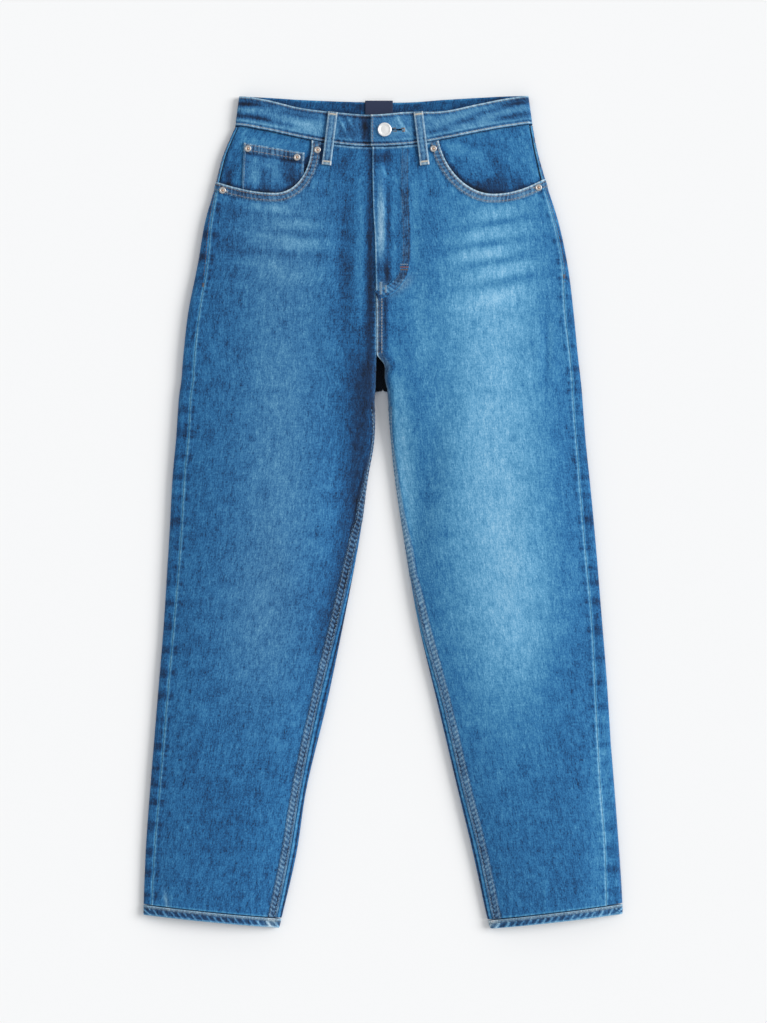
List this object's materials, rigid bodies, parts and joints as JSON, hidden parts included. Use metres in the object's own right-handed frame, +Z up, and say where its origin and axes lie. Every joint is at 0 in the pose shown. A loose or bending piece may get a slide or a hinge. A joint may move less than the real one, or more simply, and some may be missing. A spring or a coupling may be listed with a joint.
{
  "type": "mom jeans laid flat",
  "caption": "High-waisted tapered jeans laid flat, face up, with scoop front pockets, coin pocket, zip fly with one button, belt loops and turned hems.",
  "frame": {"origin": "middle of the outline on the plane that the jeans lie on", "axes": "+Z up from the surface, +Y from the hems towards the waist, +X towards the wearer's left leg"},
  "size_m": [0.5864, 1.0188, 0.0272],
  "materials": {
    "denim": "washed mid-blue twill with pale wear at the seams",
    "zip_tape": "plain woven tape",
    "label": "plain woven label",
    "metal": "satin nickel"
  },
  "bodies": {
    "root": {"front_right": "denim", "back_right": "denim", "yoke_right": "denim", "facing_right": "denim", "hem_right": "denim", "back_pocket_right": "denim", "front_left": "denim", "back_left": "denim", "yoke_left": "denim", "facing_left": "denim", "hem_left": "denim", "back_pocket_left": "denim", "waistband": "denim", "loop_front_right": "denim", "loop_front_left": "denim", "loop_back_right": "denim", "loop_back_middle": "denim", "loop_back_left": "denim", "coin_pocket": "denim", "fly_zip": "zip_tape", "label": "label", "button": "metal", "rivet_coin_outer": "metal", "rivet_coin_inner": "metal", "rivet_scoop_right": "metal", "rivet_scoop_left": "metal", "rivet_side_right": "metal", "rivet_side_left": "metal"}
  },
  "joints": []
}
